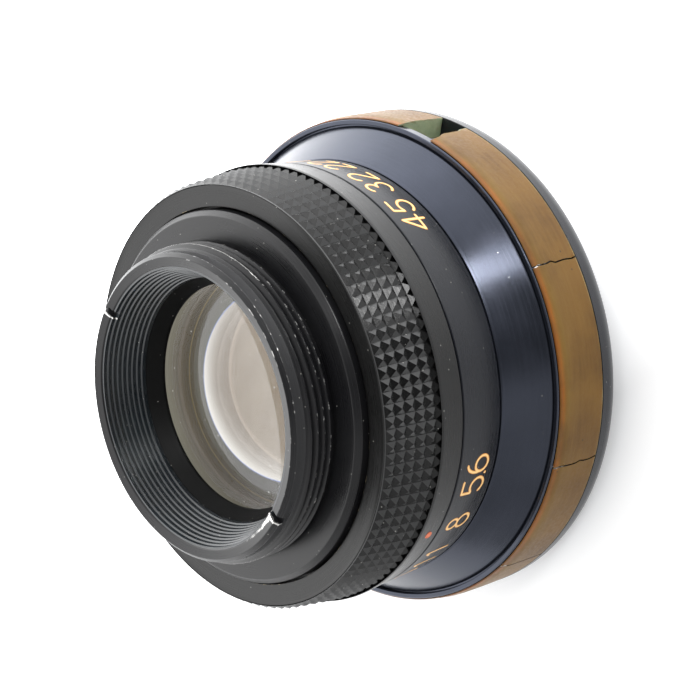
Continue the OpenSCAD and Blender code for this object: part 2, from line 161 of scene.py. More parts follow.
def turned(name, corners, body, materials, count=240, extra=(), shape=None, kind_at=None, **finish):
    """Piece turned on a lathe. shape(angle, radius, depth, tone) may change a point, and
    kind_at(radius, depth) gives the number of the material that starts at a corner."""
    shape = shape or (lambda a, r, d, t: (r, d, t))
    build = Builder(name)
    angles = circle_angles(count, extra)
    section = rounded(corners)
    rings = []
    for r, d, t in section:
        ring = []
        for a in angles:
            radius, depth, tone = shape(a, r, d, t)
            ring.append(build.add(point(a, radius, depth), tone))
        rings.append(ring)
    for (r, d, _), pair in zip(section, zip(rings, rings[1:] + rings[:1])):
        build.bands(pair, kind=kind_at(r, d) if kind_at else 0)
    return build.finish(body, materials, **finish)


# ---- materials ----


class Nodes:
    """Short way to build one material's node tree."""

    def __init__(self, name):
        self.material = bpy.data.materials.new(name)
        self.material.use_nodes = True
        self.tree = self.material.node_tree
        self.tree.nodes.clear()
        self.shader = self.add("ShaderNodeBsdfPrincipled")
        out = self.add("ShaderNodeOutputMaterial")
        self.tree.links.new(self.shader.outputs[0], out.inputs[0])
        self.place = self.add("ShaderNodeTexCoord").outputs["Object"]

    def add(self, kind, values=None, **settings):
        node = self.tree.nodes.new(kind)
        for key, value in settings.items():
            setattr(node, key, value)
        for key, value in (values or {}).items():
            self.put(node.inputs[key], value)
        return node

    def put(self, socket, value):
        if isinstance(value, bpy.types.NodeSocket):
            self.tree.links.new(value, socket)
        else:
            socket.default_value = value

    def set(self, **values):
        for key, value in values.items():
            self.put(self.shader.inputs[key.replace("_", " ")], value)

    def math(self, operation, a, b=0.0, clamp=False):
        node = self.add("ShaderNodeMath", operation=operation, use_clamp=clamp)
        for socket, value in zip(node.inputs, (a, b)):
            self.put(socket, value)
        return node.outputs[0]

    def mix(self, factor, a, b):
        node = self.add("ShaderNodeMix", data_type="RGBA")
        self.put(node.inputs[0], factor)
        self.put(node.inputs[6], a)
        self.put(node.inputs[7], b)
        return node.outputs[2]

    def ramp(self, value, stops):
        node = self.add("ShaderNodeValToRGB", {"Fac": value})
        elements = node.color_ramp.elements
        while len(elements) < len(stops):
            elements.new(0.5)
        for element, (position, colour) in zip(elements, stops):
            element.position = position
            element.color = colour
        return node.outputs[0]

    def range(self, value, low, high, to_low=0.0, to_high=1.0):
        node = self.add("ShaderNodeMapRange", {"Value": value, "From Min": low, "From Max": high,
                                               "To Min": to_low, "To Max": to_high})
        return node.outputs[0]

    def stretched(self, scale):
        return self.add("ShaderNodeMapping", {"Vector": self.place, "Scale": scale}).outputs[0]

    def noise(self, scale, detail=3.0, rough=0.5, vector=None):
        node = self.add("ShaderNodeTexNoise", {"Vector": vector or self.place, "Scale": scale,
                                               "Detail": detail, "Roughness": rough})
        return node.outputs[0]

    def polar(self):
        """Radius, height and direction of a point, as three values in metres and radians."""
        xyz = self.add("ShaderNodeSeparateXYZ", {"Vector": self.place})
        x, y, z = xyz.outputs
        squares = self.math("ADD", self.math("MULTIPLY", x, x), self.math("MULTIPLY", y, y))
        return self.math("SQRT", squares), z, self.math("ARCTAN2", y, x)

    def turning_marks(self, along=0.02, scale=9000.0):
        """Fine rings left by the lathe: noise that changes fast across and slowly around."""
        r, z, a = self.polar()
        around = self.math("MULTIPLY", a, along * MM)
        vector = self.add("ShaderNodeCombineXYZ", {"X": r, "Y": z, "Z": around})
        return self.noise(scale, 2.0, 0.6, vector.outputs[0])

    def bump(self, height, distance):
        return self.add("ShaderNodeBump", {"Height": height, "Distance": distance}).outputs[0]

    def attribute(self, name):
        return self.add("ShaderNodeAttribute", attribute_name=name).outputs["Fac"]

    def specks(self, scale, size, share):
        """Small scattered spots, such as dust: 1 on a spot and 0 elsewhere."""
        cells = self.add("ShaderNodeTexVoronoi", {"Vector": self.place, "Scale": scale})
        near = self.range(cells.outputs["Distance"], size, size * 0.5)
        pick = self.add("ShaderNodeSeparateColor", {"Color": cells.outputs["Color"]}).outputs[0]
        return self.math("MULTIPLY", near, self.math("LESS_THAN", pick, share), clamp=True)


def rgb(r, g, b):
    return (r, g, b, 1.0)


BARE_METAL = rgb(0.72, 0.71, 0.69)
DUST = rgb(0.42, 0.41, 0.38)


def anodised(name, dark, light, roughness, marks=0.00001, metallic=0.0, aniso=0.0, dust=0.12,
             wear_tint=BARE_METAL, specular=0.5):
    """Anodised aluminium with turning marks, dust, and bare metal where tone is high."""
    n = Nodes(name)
    rings = n.turning_marks()
    cloud = n.noise(160.0, 4.0)
    blend = n.range(n.math("ADD", n.math("MULTIPLY", rings, 0.5), n.math("MULTIPLY", cloud, 0.5)),
                    0.35, 0.65)
    colour = n.mix(blend, dark, light)
    colour = n.mix(n.math("MULTIPLY", n.specks(1500.0, 0.13, dust), 0.7), colour, DUST)
    patchy = n.noise(900.0, 5.0, 0.7)
    worn = n.range(n.math("ADD", n.attribute("tone"), patchy), 1.12, 1.3)
    colour = n.mix(worn, colour, wear_tint)
    rough = n.range(n.math("ADD", rings, cloud), 0.7, 1.3, roughness - 0.05, roughness + 0.07)
    rough = n.range(worn, 0.0, 1.0, rough, 0.28)
    metal = n.math("MAXIMUM", n.math("MULTIPLY", worn, 0.95), metallic)
    height = n.math("ADD", rings, n.math("MULTIPLY", n.noise(5200.0, 2.0), 0.35))
    n.set(Base_Color=colour, Roughness=rough, Metallic=metal, Normal=n.bump(height, marks))
    n.shader.inputs["Specular IOR Level"].default_value = specular
    if aniso:
        n.shader.inputs["Anisotropic"].default_value = aniso
        tangent = n.add("ShaderNodeTangent", direction_type="RADIAL", axis="Z")
        n.set(Tangent=tangent.outputs[0])
    return n.material


def paint(name, body, edge):
    """Enamel rubbed into engraved lines: a light core and a deeper colour at the sides."""
    n = Nodes(name)
    cloud = n.noise(1900.0, 3.0)
    mask = n.range(n.math("ADD", n.attribute("tone"), n.math("MULTIPLY", cloud, 0.6)), 0.45, 1.0)
    n.set(Base_Color=n.mix(mask, edge, body), Roughness=n.range(cloud, 0.3, 0.7, 0.35, 0.55),
          Normal=n.bump(cloud, 0.00002))
    return n.material


def bright_metal(name, colour, roughness):
    n = Nodes(name)
    cloud = n.noise(2500.0, 4.0)
    shade = n.mix(cloud, colour, rgb(*(0.72 * c for c in colour[:3])))
    n.set(Base_Color=shade, Metallic=1.0, Normal=n.bump(cloud, 0.000004),
          Roughness=n.range(cloud, 0.3, 0.7, roughness, roughness + 0.12))
    return n.material


def clear_glass(name, tint, coating):
    """Polished glass with dust on it. coating is the colour of its thin anti-reflection film."""
    n = Nodes(name)
    dust = n.specks(650.0, 0.075, 0.45)
    n.set(Base_Color=n.mix(dust, tint, rgb(0.9, 0.88, 0.82)),
          Transmission_Weight=n.range(dust, 0.0, 1.0, 1.0, 0.1), Roughness=n.math("MULTIPLY", dust, 0.6))
    n.shader.inputs["IOR"].default_value = 1.5
    n.shader.inputs["Specular Tint"].default_value = coating
    return n.material


HOLLOW_R, GROUND_R = 10.3, 12.2  # hollow of the rear pair, painted with glowing light, and the ground rim around it
CRESCENT_ANGLE, CRESCENT_AWAY = -22, 2.2     # direction and offset of the centre of the painted white crescent of light
ARC_ANGLE, ARC_AWAY, ARC_R = -38, 8.0, 12.9  # the same for the second arc, a painted reflection of the front cell's rim, and its radius
PAINTED_SHADE_SIDE = 238                # direction of the painted shade on the cell's wall, where it is darkest


def painted_hollow_light():
    """Painted light on the hollow inner face: it glows white at one side, a painted crescent of light,
    and tan across, with a second arc where the rim of the front cell is painted as a reflection in it."""
    n = Nodes("hollow_painted_light")
    xyz = n.add("ShaderNodeSeparateXYZ", {"Vector": n.place})
    x, y, _ = xyz.outputs

    def distance(angle, away):
        dx = n.math("SUBTRACT", x, away * MM * math.cos(math.radians(angle)))
        dy = n.math("SUBTRACT", y, away * MM * math.sin(math.radians(angle)))
        return n.math("SQRT", n.math("ADD", n.math("MULTIPLY", dx, dx), n.math("MULTIPLY", dy, dy)))

    streaks = n.noise(300.0, 4.0, 0.6, n.stretched((0.5, 1.5, 1.0)))
    tan = n.mix(n.range(streaks, 0.35, 0.65), rgb(0.20, 0.155, 0.10), rgb(0.25, 0.20, 0.14))
    beyond = n.mix(n.range(streaks, 0.35, 0.65), rgb(0.26, 0.205, 0.14), rgb(0.31, 0.255, 0.18))
    # painted reflection of the front cell's rim: the second arc, with a brighter edge
    near = distance(ARC_ANGLE, ARC_AWAY)
    inside = n.range(near, ARC_R * MM, (ARC_R - 0.12) * MM)
    edge = n.math("MULTIPLY", n.range(near, (ARC_R - 0.9) * MM, ARC_R * MM), inside)
    colour = n.mix(inside, tan, beyond)
    colour = n.mix(n.math("MULTIPLY", edge, 0.7), colour, rgb(0.46, 0.39, 0.31))
    # painted highlight: a white crescent of light at one side of the hollow
    reach = HOLLOW_R + CRESCENT_AWAY
    glow = n.range(distance(CRESCENT_ANGLE, CRESCENT_AWAY), (reach - 5.2) * MM, (reach - 0.5) * MM)
    colour = n.mix(n.math("POWER", glow, 2.0), colour, rgb(0.86, 0.84, 0.80))
    # painted blue fringe at the hollow's edge, part of the painted light
    fringe = n.range(distance(0, 0), (HOLLOW_R - 0.22) * MM, (HOLLOW_R - 0.02) * MM)
    colour = n.mix(fringe, colour, rgb(0.20, 0.28, 0.62))
    return painted_glow(n, colour)


def painted_glow(n, colour):
    """Painted light: makes a surface deep in the lens glow with its colour, standing in for the light which
    falls in at the front.
    """
    n.set(Base_Color=n.mix(0.92, colour, rgb(0, 0, 0)), Emission_Color=colour, Roughness=0.5)
    n.shader.inputs["Emission Strength"].default_value = 1.0
    n.shader.inputs["Specular IOR Level"].default_value = 0.1
    return n.material


def cell_glow(name, near_colour, far_colour, radii, line=None):
    """Cell wall seen through the glass, as glowing painted light: painted shading from one radius to
    another, painted shade at the side that lies away from the light, and faint rings. line is the radius of
    a thin gold line."""
    n = Nodes(name)
    r, z, a = n.polar()
    rings = n.turning_marks(0.02, 1500.0)
    # painted shading: the glow's colour runs from one radius to the other
    share = n.range(r, radii[0] * MM, radii[1] * MM)
    colour = n.mix(share, near_colour, far_colour)
    colour = n.mix(n.range(rings, 0.35, 0.65, 0.0, 0.3), colour, rgb(0.03, 0.026, 0.02))
    if line:
        gold = n.math("LESS_THAN", n.math("ABSOLUTE", n.math("SUBTRACT", r, line * MM)), 0.06 * MM)
        colour = n.mix(n.math("MULTIPLY", gold, 0.6), colour, rgb(0.33, 0.25, 0.10))
    # painted shade at the side that lies away from the light
    shade = n.range(n.math("COSINE", n.math("SUBTRACT", a, math.radians(PAINTED_SHADE_SIDE))), 0.0, 1.0)
    colour = n.mix(n.math("MULTIPLY", shade, 0.5), colour, rgb(0.02, 0.018, 0.013))
    return painted_glow(n, colour)


def aged_resin():
    """Yellowed luminous plastic: tone runs from the front edge, 0, to the rear edge, 1."""
    n = Nodes("aged_resin")
    tone = n.attribute("tone")
    r, z, a = n.polar()
    around = n.add("ShaderNodeCombineXYZ", {"X": r, "Y": z, "Z": n.math("MULTIPLY", a, 0.004)})
    streaks = n.noise(1500.0, 4.0, 0.65, around.outputs[0])
    blotch = n.noise(130.0, 4.0, 0.55)
    fine = n.noise(2600.0, 3.0, 0.6)
    shifted = n.math("ADD", tone, n.math("MULTIPLY", n.math("SUBTRACT", blotch, 0.5), 0.12))
    base = n.ramp(shifted, [
        (0.02, rgb(0.36, 0.27, 0.12)), (0.08, rgb(0.165, 0.080, 0.012)), (0.42, rgb(0.146, 0.076, 0.014)),
        (0.56, rgb(0.160, 0.092, 0.018)), (0.70, rgb(0.160, 0.084, 0.012)), (0.86, rgb(0.25, 0.080, 0.004)),
        (1.0, rgb(0.13, 0.034, 0.002))])
    dirt = n.mix(n.range(blotch, 0.4, 0.68), base, rgb(0.100, 0.047, 0.008))
    mottled = n.mix(n.range(streaks, 0.4, 0.7, 0.0, 0.35), dirt, rgb(0.195, 0.108, 0.024))
    spots = n.specks(900.0, 0.16, 0.05)
    colour = n.mix(n.math("MULTIPLY", spots, 0.7), mottled, rgb(0.05, 0.035, 0.02))
    height = n.math("ADD", n.math("MULTIPLY", streaks, 0.6), n.math("MULTIPLY", fine, 0.4))
    n.set(Base_Color=colour, Roughness=n.range(fine, 0.3, 0.7, 0.34, 0.52),
          Normal=n.bump(height, 0.00003), Subsurface_Weight=0.18)
    n.shader.inputs["Specular IOR Level"].default_value = 0.2
    n.shader.inputs["Subsurface Radius"].default_value = (0.9, 0.45, 0.12)
    n.shader.inputs["Subsurface Scale"].default_value = MM
    return n.material


def fracture_face():
    n = Nodes("resin_fracture")
    grain = n.noise(900.0, 6.0, 0.7)
    n.set(Base_Color=n.mix(grain, rgb(0.13, 0.17, 0.09), rgb(0.30, 0.34, 0.21)), Roughness=0.55,
          Normal=n.bump(grain, 0.0001), Subsurface_Weight=0.15)
    n.shader.inputs["Subsurface Scale"].default_value = MM
    return n.material


def old_glue():
    n = Nodes("old_adhesive")
    grain = n.noise(700.0, 6.0, 0.65)
    n.set(Base_Color=n.mix(n.range(grain, 0.35, 0.65), rgb(0.05, 0.055, 0.07), rgb(0.34, 0.34, 0.33)),
          Roughness=0.5, Normal=n.bump(grain, 0.00012))
    return n.material


GREY = anodised("grey_anodised", rgb(0.006, 0.006, 0.007), rgb(0.011, 0.011, 0.012), 0.30, specular=0.32)
BAFFLE = anodised("baffle_blue_black", rgb(0.006, 0.009, 0.012), rgb(0.010, 0.016, 0.021), 0.28,
                  specular=0.75)
DULL = anodised("dull_black", rgb(0.003, 0.003, 0.003), rgb(0.005, 0.005, 0.005), 0.5, specular=0.15)
BLACK = anodised("black_anodised", rgb(0.002, 0.002, 0.002), rgb(0.005, 0.005, 0.005), 0.28,
                 wear_tint=rgb(0.5, 0.42, 0.27), specular=0.29)
KNURL = anodised("knurl_black", rgb(0.003, 0.003, 0.003), rgb(0.007, 0.007, 0.007), 0.2, dust=0.2,
                 specular=0.4)
NUMBER = anodised("number_ring_blue_grey", rgb(0.005, 0.006, 0.009), rgb(0.009, 0.010, 0.014), 0.28,
                  specular=0.28)
CONE = anodised("blue_anodised", rgb(0.040, 0.045, 0.060), rgb(0.052, 0.058, 0.078), 0.17,
                marks=0.000003, metallic=0.8, aniso=0.5, dust=0.05)
RIM = anodised("rim_blue_black", rgb(0.005, 0.006, 0.009), rgb(0.010, 0.011, 0.016), 0.24)
GOLD = paint("gold_enamel", rgb(0.92, 0.60, 0.24), rgb(0.64, 0.24, 0.03))
ORANGE = paint("orange_enamel", rgb(0.90, 0.19, 0.02), rgb(0.62, 0.10, 0.01))
STEEL = bright_metal("bright_steel", rgb(0.62, 0.62, 0.62), 0.25)
BLUED = bright_metal("blued_steel", rgb(0.10, 0.105, 0.12), 0.38)
BRASS = bright_metal("blackened_brass", rgb(0.17, 0.13, 0.07), 0.35)
GLASS = clear_glass("coated_glass", rgb(0.97, 0.965, 0.95), rgb(0.12, 0.13, 0.2))
RESIN, FRACTURE, GLUE = aged_resin(), fracture_face(), old_glue()
# Cell walls, rear retaining ring and the pair's ground rim: glowing painted light and shade deep in the
# lens
CELL = cell_glow("cell_glow", rgb(0.155, 0.135, 0.105), rgb(0.235, 0.225, 0.185), (13.9, 14.6))
CELL_DEEP = cell_glow("deep_cell_glow", rgb(0.092, 0.078, 0.047), rgb(0.125, 0.105, 0.072),
                      (12.6, 15.0), 13.1)
GROUND = cell_glow("ground_rim", rgb(0.150, 0.150, 0.112), rgb(0.140, 0.130, 0.105),
                   (HOLLOW_R, GROUND_R))
PAINTED_HOLLOW_LIGHT = painted_hollow_light()


# ---- rear mount ----

LIP_R = 18.8
SLOT_ANGLES = (88.0, 268.0)
SLOT_HALF = 1.6
SLOT_FLOOR = 1.0
THREAD_START, THREAD_END = 1.9, 5.5
THREAD_R, THREAD_ROOT = 19.5, 18.87
PITCH = 25.4 / 26
THREAD_ROWS = 130
CREST_DEPTH = 3.0
POLISHED_TURN = 0                # the crest that a lens board has rubbed most
WORN_SIDE = -20                  # direction in which the lip's edges are most worn
SCRAPE_ARC = 24                  # length of the scrape beside one slot, in degrees
SCRAPE_R = (17.0, 17.5)
BURR = 1.3                       # width of the bright burr beside each slot, in degrees
LIP_INNER_R = 16                 # the lip's end lies outside this radius
SEAT_R, SEAT_DEPTH, SEAT_RELIEF = 22.4, 5.95, 0.1


def thread_radius(angle, depth):
    """Radius of the helical thread at a point, with its ends running out."""
    turn = (depth - CREST_DEPTH) / PITCH + angle / 360
    away = abs(turn - round(turn)) * 2
    height = min(1.0, max(0.0, (0.92 - away) / 0.74))
    fade = min(1.0, (depth - THREAD_START) / 0.5, (THREAD_END - depth) / 0.35)
    return THREAD_ROOT + (THREAD_R - THREAD_ROOT) * height * max(0.0, fade), height * fade, round(turn)


def mount_shape(angle, radius, depth, tone):
    if depth < SLOT_FLOOR and radius > LIP_INNER_R:
        for slot, burr_side in zip(SLOT_ANGLES, (1, -1)):
            away = (angle - slot + 180) % 360 - 180
            if abs(away) < SLOT_HALF:
                return radius, SLOT_FLOOR, 0.0
            if 0 < burr_side * away < SLOT_HALF + BURR:
                return radius, depth, 0.95
        scrape = (SLOT_ANGLES[1] - angle) / SCRAPE_ARC
        if 0 < scrape < 1 and SCRAPE_R[0] < radius < SCRAPE_R[1]:
            return radius, depth, 0.85 - 0.3 * scrape
        facing = math.cos(math.radians(angle - WORN_SIDE))
        return radius, depth, tone * (0.82 + 0.18 * facing)
    if THREAD_START <= depth <= THREAD_END and radius > THREAD_ROOT + 0.1:
        radius, crest, turn = thread_radius(angle, depth)
        return radius, depth, (0.8 if turn == POLISHED_TURN else 0.55) if crest > 0.98 else 0.0
    return radius, depth, tone


def mount_section():
    bore_r, baffle_r, baffle_end, steps = 17.1, 15.1, 5.6, 9
    rise, run = (bore_r - baffle_r) / steps, (baffle_end - 0.3) / steps
    section = [(14.0, 7.9), (14.0, 7.6, 0.1, 0.15), (baffle_r - 0.05, baffle_end + 0.15, 0.1)]
    for i in range(steps):
        d = baffle_end - run * i
        section.append((baffle_r + rise * i, d, 0.03))
        section.append((baffle_r + rise * i + 0.02, d - run * 0.82, 0.05))
    section += [(bore_r, 0.42, 0.05), (bore_r + 0.16, 0.24, 0.06, 0.38), (LIP_R - 0.5, 0.0, 0.05, 0.6),
                (LIP_R, 0.48, 0.05, 0.58), (LIP_R, THREAD_START - 0.02, 0.08)]
    for i in range(THREAD_ROWS + 1):
        section.append((THREAD_R, THREAD_START + (THREAD_END - THREAD_START) * i / THREAD_ROWS))
    groove_r, groove_depth = THREAD_R + SEAT_RELIEF, SEAT_DEPTH + SEAT_RELIEF
    section += [(18.9, 5.53), (18.9, groove_depth), (groove_r, groove_depth), (groove_r, SEAT_DEPTH),
                (SEAT_R, SEAT_DEPTH, 0.08, 0.3), (23.05, 6.6, 0.12, 0.35),
                (23.05, 9.4), (22.3, 9.4), (22.3, 12.4), (17.4, 12.4), (17.4, 18.4), (15.5, 18.4),
                (15.5, 7.9)]
    return section


def mount_kind(radius, depth):
    """Grey outside, blue-black on the baffle's steps and dull black around the glass."""
    if radius > 17.12:
        return 0
    return 1 if depth < 5.65 and radius > 15.0 else 2


def rear_mount():
    edges = [slot + side * (SLOT_HALF + step)
             for slot in SLOT_ANGLES for side in (-1, 1) for step in (-0.03, 0.03)]
    return turned("threaded_mount", mount_section(), FIXED, [GREY, BAFFLE, DULL], 360, edges, mount_shape,
                  mount_kind, replaces=["mount_barrel"], slot="grey_anodised")


# ---- knurled grip ring ----

TEETH = 115
KNURL_ROWS = 6                   # rows of pyramids along the cone, the last one half cut off
KNURL_START, KNURL_END = (26.5, 7.1), (27.55, 15.15)
KNURL_DEPTH = 0.45


def grip_ring():
    build = Builder("knurled_grip")
    start, end = Vector(KNURL_START), Vector(KNURL_END)
    slant = end - start
    inward = Vector((-slant.y, slant.x)).normalized() * KNURL_DEPTH
    tooth = 360 / TEETH

    def on_cone(share, sunk):
        return start + slant * share + inward * sunk

    def ring(place, offset, columns):
        return [build.add(point((i / columns + offset) * tooth, *place)) for i in range(TEETH * columns)]

    pitch = 1 / (KNURL_ROWS - 0.4)
    drop = KNURL_DEPTH / (slant.y / slant.length)
    first = ring(start - Vector((drop, 0)), 0, 2)
    corners = [ring(on_cone((k + 0.1) * pitch, 1), 0, 1) for k in range(KNURL_ROWS)]
    peaks = [ring(on_cone((k + 0.6) * pitch, 0), 0.5, 1) for k in range(KNURL_ROWS - 1)]
    valleys, ends = ring(end - Vector((drop, 0)), 0, 1), ring(end, 0.5, 1)
    last = [place for pair in zip(valleys, ends) for place in pair]
    for i in range(TEETH):
        j = (i + 1) % TEETH
        build.face(first[2 * i], first[2 * i + 1], first[2 * j], corners[0][j], corners[0][i])
        for a, b, top in zip(corners, corners[1:], (row[i] for row in peaks)):
            build.face(a[i], a[j], top)
            build.face(a[j], b[j], top)
            build.face(b[j], b[i], top)
            build.face(b[i], a[i], top)
        build.face(corners[-1][i], corners[-1][j], ends[i])
        build.face(corners[-1][j], valleys[j], ends[i])
        build.face(valleys[i], corners[-1][i], ends[i])
    body = rounded([(27.65, 15.15, 0.06, 0.2), (27.35, 18.6, 0.06, 0.25), (27.25, 18.7), (24.05, 18.7),
                    (24.05, 9.5), (23.35, 9.5), (23.35, 7.32, 0.08, 0.55), (25.6, 7.18, 0.3),
                    (25.95, 7.12, 0.1)])
    rings = [last]
    for r, d, t in body:
        rings.append([build.add(point(i * tooth / 2, r, d), t) for i in range(2 * TEETH)])
    rings.append(first)
    build.bands(rings, kind=1)
    return build.finish(FIXED, [KNURL, BLACK], sharp=25, replaces=["knurled_grip_ring"],
                        slot="black_anodised")


# ---- control ring ----

SCALE_REAR, SCALE_FRONT = (27.35, 18.97), (27.0, 25.58)
CHANNEL_R = 29.6                 # floor of the channel that holds the luminous band
RIM_R, RIM_ROUND, RIM_START, RIM_STEPS = 32.2, 3.3, 38.48, 16


def number_ring():
    section = [(26.02, 18.85), (27.23, 18.85, 0.08, 0.3), (*SCALE_REAR, 0.05), (27.0, 25.46, 0.05),
               (26.88, 25.7, 0.05, 0.3), (26.02, 25.7)]
    return turned("number_ring", section, TURNING, [NUMBER], replaces=["scale_ring"],
                  slot="blue_black_anodised")


def flared_ring():
    section = [(24.85, 19.35), (26.0, 19.35), (26.0, 25.75), (27.08, 25.75, 0.05, 0.25),
               (30.75, 30.85, 0.1, 0.35), (30.7, 31.35, 0.05), (30.98, 31.35, 0.05),
               (30.98, 30.6, 0.1, 0.3), (31.6, 30.6, 0.15, 0.35), (31.6, 31.75), (CHANNEL_R, 31.75),
               (CHANNEL_R, 38.45), (28.8, 38.45), (28.8, 40.4), (27.8, 40.4, 0.1), (25.3, 33.6, 0.2),
               (23.55, 33.6, 0.05), (23.55, 30.2), (24.85, 30.2)]
    return turned("flared_cone", section, TURNING, [CONE], 288, replaces=["flared_ring"],
                  slot="blue_black_anodised")


def rim():
    section = [(28.83, RIM_START), (RIM_R, RIM_START, 0.08, 0.2)]
    for i in range(RIM_STEPS + 1):
        a = math.radians(90 * i / RIM_STEPS)
        section.append((RIM_R - RIM_ROUND + RIM_ROUND * math.cos(a),
                        LENGTH - RIM_ROUND + RIM_ROUND * math.sin(a)))
    section += [(28.3, LENGTH, 0.1), (28.0, LENGTH - 0.3, 0.05), (28.0, 40.43), (28.83, 40.43)]
    return turned("front_rim", section, TURNING, [RIM], 288, replaces=["rim_ring"],
                  slot="blue_black_anodised")


# ---- scale ----

DIGIT_H, DIGIT_W, STROKE = 3.75, 2.4, 0.42
DIGIT_GAP = 0.55
RIBBON_EDGE = 0.004              # height of the enamel at the sides of a stroke
STOP = 15.0                      # turn of the ring from one number to the next, in degrees
SCALES = (270.0, 72.0)           # direction of the 8 on each of the two scales
STOPS = ("5.6", "8", "11", "16", "22", "32", "45")
SCALE_MIDDLE = 22.25             # depth of the middle of the numbers


def arc(cx, cy, rx, ry, start, end, steps=16):
    return [(cx + rx * math.cos(math.radians(start + (end - start) * i / steps)),
             cy + ry * math.sin(math.radians(start + (end - start) * i / steps))) for i in range(steps + 1)]


# Single-line digits in a box of width 1 and height 1
DIGITS = {
    "1": [[(0.28, 0.8), (0.55, 1.0), (0.55, 0.0)]],
    "2": [arc(0.5, 0.72, 0.44, 0.28, 165, -35) + [(0.04, 0.0), (0.98, 0.0)]],
    "3": [arc(0.46, 0.765, 0.36, 0.235, 150, -85), arc(0.46, 0.27, 0.46, 0.27, 85, -150)],
    "4": [[(0.72, 0.0), (0.72, 1.0), (0.0, 0.27), (1.0, 0.27)]],
    "5": [[(0.9, 1.0), (0.2, 1.0), (0.1, 0.53)] + arc(0.47, 0.31, 0.45, 0.31, 125, -150)],
    "6": [arc(0.5, 0.3, 0.43, 0.3, 0, 360, 28), arc(0.72, 0.42, 0.65, 0.58, 180, 100)],
    "8": [arc(0.5, 0.77, 0.34, 0.23, 0, 360, 26), arc(0.5, 0.27, 0.44, 0.27, 0, 360, 26)],
    ".": [[(0.5, 0.02), (0.5, 0.06)]],
}


def resampled(line, step=0.12):
    """The same line, in millimetres, with points no more than a step apart."""
    out = [Vector(line[0])]
    for a, b in zip(line, line[1:]):
        a, b = Vector(a), Vector(b)
        count = max(1, math.ceil((b - a).length / step))
        out += [a.lerp(b, (i + 1) / count) for i in range(count)]
    return out


def scale_surface(x, y, middle, height):
    """Point on the number ring: x runs around it from direction middle, y towards the mount."""
    depth = SCALE_MIDDLE - y
    share = (depth - SCALE_REAR[1]) / (SCALE_FRONT[1] - SCALE_REAR[1])
    radius = SCALE_REAR[0] + (SCALE_FRONT[0] - SCALE_REAR[0]) * share
    return point(middle + math.degrees(x / radius), radius + height, depth)


def painted_line(build, line, middle):
    """Slightly raised ribbon of enamel along a line, with rounded ends."""
    points = resampled(line)
    profile = [(-1.0, RIBBON_EDGE, 0.0), (-0.55, 0.022, 0.5), (0.0, 0.03, 1.0), (0.55, 0.022, 0.5),
               (1.0, RIBBON_EDGE, 0.0)]
    rows = []
    for i, p in enumerate(points):
        along = (points[min(i + 1, len(points) - 1)] - points[max(i - 1, 0)]).normalized()
        across = Vector((-along.y, along.x)) * STROKE / 2
        rows.append([build.add(scale_surface(*(p + across * s), middle, h), t) for s, h, t in profile])
    build.bands(rows, closed=False)
    for end, toward in ((0, 1), (-1, -2)):
        away = (points[end] - points[toward]).normalized()
        cap = build.add(scale_surface(*(points[end] + away * STROKE * 0.45), middle, RIBBON_EDGE), 0.0)
        row = rows[end]
        for a, b in zip(row, row[1:]):
            build.face(a, b, cap)


def numerals():
    build = Builder("scale_numerals")
    for first in SCALES:
        for k, text in enumerate(STOPS):
            middle = first - (k - 1) * STOP
            widths = [0.0 if c == "." else DIGIT_W for c in text]
            total = sum(widths) + DIGIT_GAP * (len([c for c in text if c != "."]) - 1)
            x = -total / 2
            for c, w in zip(text, widths):
                left = x - DIGIT_GAP / 2 - DIGIT_W / 2 if c == "." else x
                for line in DIGITS[c]:
                    placed = [(left + u * DIGIT_W, (v - 0.5) * DIGIT_H) for u, v in line]
                    painted_line(build, placed, middle)
                x += w + DIGIT_GAP if w else 0.0
    return build.finish(TURNING, [GOLD], sharp=80, slot="orange_paint")


# ---- luminous band ----

BAND_CRACKS = (256.8, 287.3, 332.2)
BAND_GAP = (372.5, 381.3)        # where a fragment is missing
CRACK = 0.35                     # width of a crack, in degrees
BAND_MIDDLE = 34.8               # depth about which a slanting break turns
BREAK_FACE, CRACK_SHADE_FACE = 1, 2    # materials of a wide break's faces and of a narrow crack's, which is dull black: painted shade in the crack


def band_section():
    """Closed section of the band: (radius, depth, tone), from its front outer corner."""
    front, rear = Vector((32.18, 38.36)), Vector((32.08, 32.35))
    outer = [(32.06, 38.41, 0.0), (32.16, 38.37, 0.0), (32.17, 38.18, 0.13)]
    for i in range(1, 8):
        p = front.lerp(rear, i / 8)
        outer.append((p.x + 0.03 * math.sin(math.pi * i / 8), p.y, 0.14 + 0.34 * i / 8))
    outer += [(32.08, 32.42, 0.5), (32.05, 32.2, 0.58), (31.99, 31.9, 0.68), (31.93, 31.6, 0.78),
              (31.88, 31.3, 0.88), (31.82, 30.97, 0.96), (31.69, 30.87, 1.0), (31.68, 31.78, 1.0)]
    return outer + [(29.64, 31.79, 0.4), (29.64, 38.41, 0.2)]


def jagged(seed, size, slope=0.0, waves=1.3):
    """How far a broken end strays, in degrees, at a given radius and depth."""
    def stray(radius, depth):
        rough = noise.fractal(Vector((depth * waves, radius * 1.1, seed)), 0.7, 2.2, 4)
        return size * rough + slope * (depth - BAND_MIDDLE)
    return stray


